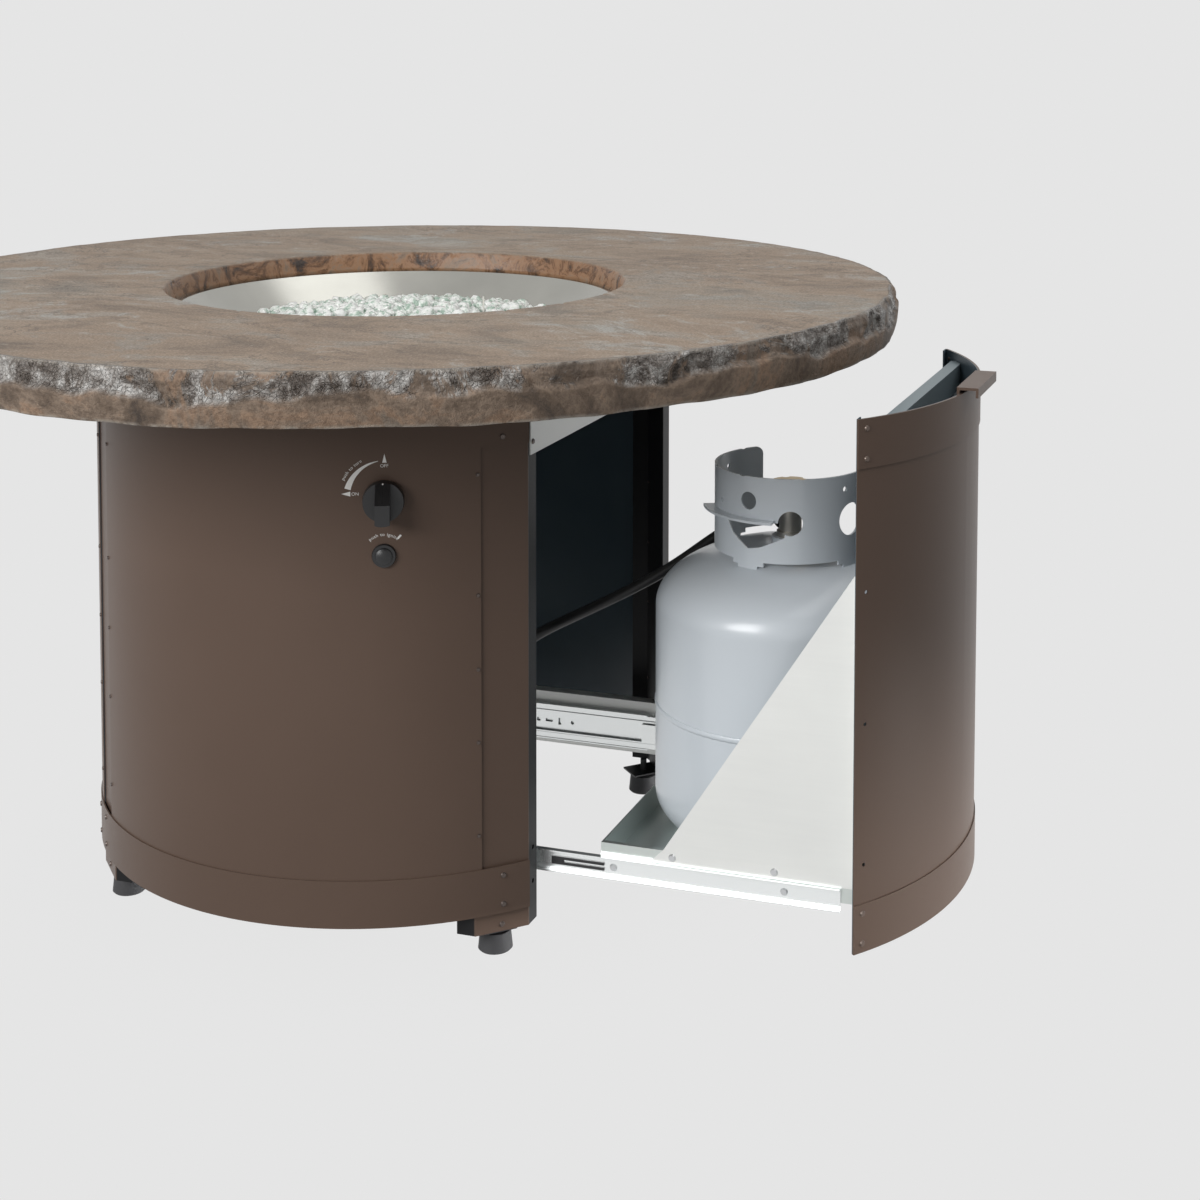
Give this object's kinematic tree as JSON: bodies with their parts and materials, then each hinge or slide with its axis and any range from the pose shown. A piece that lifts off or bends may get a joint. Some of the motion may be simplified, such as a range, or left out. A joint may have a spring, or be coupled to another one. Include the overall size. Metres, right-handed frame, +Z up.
{
  "type": "fire pit table",
  "caption": "Round stone-topped gas fire pit table on a drum base, with a curved door that slides out as a drawer carrying the gas tank.",
  "frame": {"origin": "on the floor, level with the undersides of the feet, under the middle of the table with its drawer open; the round top's axis stands 60 mm behind it, at X -0.060", "axes": "+Z up; +X the way the drawer slides out; -Y the way the panel with the controls faces"},
  "size_m": [1.3374, 1.2192, 0.697],
  "materials": {
    "stone": "dark slate look with a chiselled rim",
    "stainless": "mirror polished",
    "burner_steel": "satin",
    "brass": "cast and machined",
    "gems": "clear tumbled glass",
    "ceramic": "glazed",
    "lead": "smooth",
    "aluminium": "drawn tube",
    "valve_metal": "cast",
    "stem_steel": "turned",
    "black_plastic": "satin",
    "bronze": "dark bronze textured powder coat",
    "galvanised": "bright zinc coat",
    "black_steel": "black powder coat",
    "foot_rubber": "matte",
    "screws": "dark plated",
    "zinc_screws": "zinc plated",
    "tank_paint": "light grey gloss",
    "hose": "matt black"
  },
  "bodies": {
    "root": {"stone_top": "stone", "burner_bowl": "stainless", "burner_ring": "burner_steel", "air_mixer": "brass", "glass_gems": "gems", "spark_electrode": "ceramic", "ignition_lead": "lead", "burner_gas_line": "aluminium", "control_valve": "valve_metal", "igniter_module": "black_plastic", "front_panel": "bronze", "left_panel": "bronze", "back_panel": "bronze", "front_top_band": "bronze", "left_top_band": "bronze", "back_top_band": "bronze", "front_bottom_band": "bronze", "left_bottom_band": "bronze", "back_bottom_band": "bronze", "post_front_right": "bronze", "post_front_left": "bronze", "post_back_right": "bronze", "post_back_left": "bronze", "drawer_header": "galvanised", "top_rails": "galvanised", "heat_shield": "galvanised", "slide_carrier_front": "galvanised", "slide_carrier_back": "galvanised", "rear_cross_rail": "galvanised", "foot_brackets": "black_steel", "levelling_feet": "foot_rubber", "slide_cabinet_front": "galvanised", "slide_cabinet_back": "galvanised", "base_screws": "screws", "panel_rivets": "screws", "gas_hose": "hose"},
    "drawer": {"slide_drawer_front": "galvanised", "slide_drawer_back": "galvanised", "drawer_tray": "galvanised", "gusset_front": "galvanised", "gusset_back": "galvanised", "door_panel": "bronze", "door_top_band": "bronze", "door_bottom_band": "bronze", "door_stiffener": "galvanised", "door_handle": "bronze", "tank_vessel": "tank_paint", "tank_foot_ring": "tank_paint", "tank_collar": "tank_paint", "tank_valve": "brass", "connector_nut": "black_plastic", "drawer_screws": "zinc_screws"},
    "slide_front": {"slide_middle_front": "galvanised"},
    "slide_back": {"slide_middle_back": "galvanised"},
    "lever_front": {"release_lever_front": "black_plastic"},
    "lever_back": {"release_lever_back": "black_plastic"},
    "stem": {"valve_stem": "stem_steel"},
    "knob": {"control_knob": "black_plastic"},
    "button": {"igniter_button": "black_plastic"},
    "handwheel": {"tank_handwheel": "black_plastic"}
  },
  "joints": [
    {"name": "drawer_slide", "type": "slide", "parent": "root", "child": "drawer", "axis": [1, 0, 0], "range_m": [-0.359, 0], "deforming": ["gas_hose"]},
    {"name": "slide_front_travel", "type": "slide", "parent": "root", "child": "slide_front", "axis": [1, 0, 0], "range_m": [-0.1795, 0]},
    {"name": "slide_back_travel", "type": "slide", "parent": "root", "child": "slide_back", "axis": [1, 0, 0], "range_m": [-0.1795, 0]},
    {"name": "lever_front_turn", "type": "hinge", "parent": "drawer", "child": "lever_front", "pos_m": [0.2281, -0.1951, 0.091], "axis": [0, 1, 0], "range_deg": [-5, 5], "stiffness_Nm_per_rad": 0.05},
    {"name": "lever_back_turn", "type": "hinge", "parent": "drawer", "child": "lever_back", "pos_m": [0.2281, 0.1951, 0.091], "axis": [0, 1, 0], "range_deg": [-5, 5], "stiffness_Nm_per_rad": 0.05},
    {"name": "stem_push", "type": "slide", "parent": "root", "child": "stem", "axis": [-0.4147, 0.91, 0], "range_m": [0, 0.004], "stiffness_N_per_m": 1500, "springref_m": -0.002},
    {"name": "knob_turn", "type": "hinge", "parent": "stem", "child": "knob", "pos_m": [0.08867, -0.32622, 0.514], "axis": [-0.4147, 0.91, 0], "range_deg": [-90, 0]},
    {"name": "button_push", "type": "slide", "parent": "root", "child": "button", "axis": [-0.4147, 0.91, 0], "range_m": [0, 0.0045], "stiffness_N_per_m": 1200, "springref_m": -0.002},
    {"name": "handwheel_turn", "type": "hinge", "parent": "drawer", "child": "handwheel", "pos_m": [0.44, 0, 0.479], "axis": [0, 0, 1], "range_deg": [0, 540]}
  ],
  "couplings": [
    {"joint": "slide_front_travel", "follows": "drawer_slide", "ratio": 0.5},
    {"joint": "slide_back_travel", "follows": "drawer_slide", "ratio": 0.5}
  ]
}
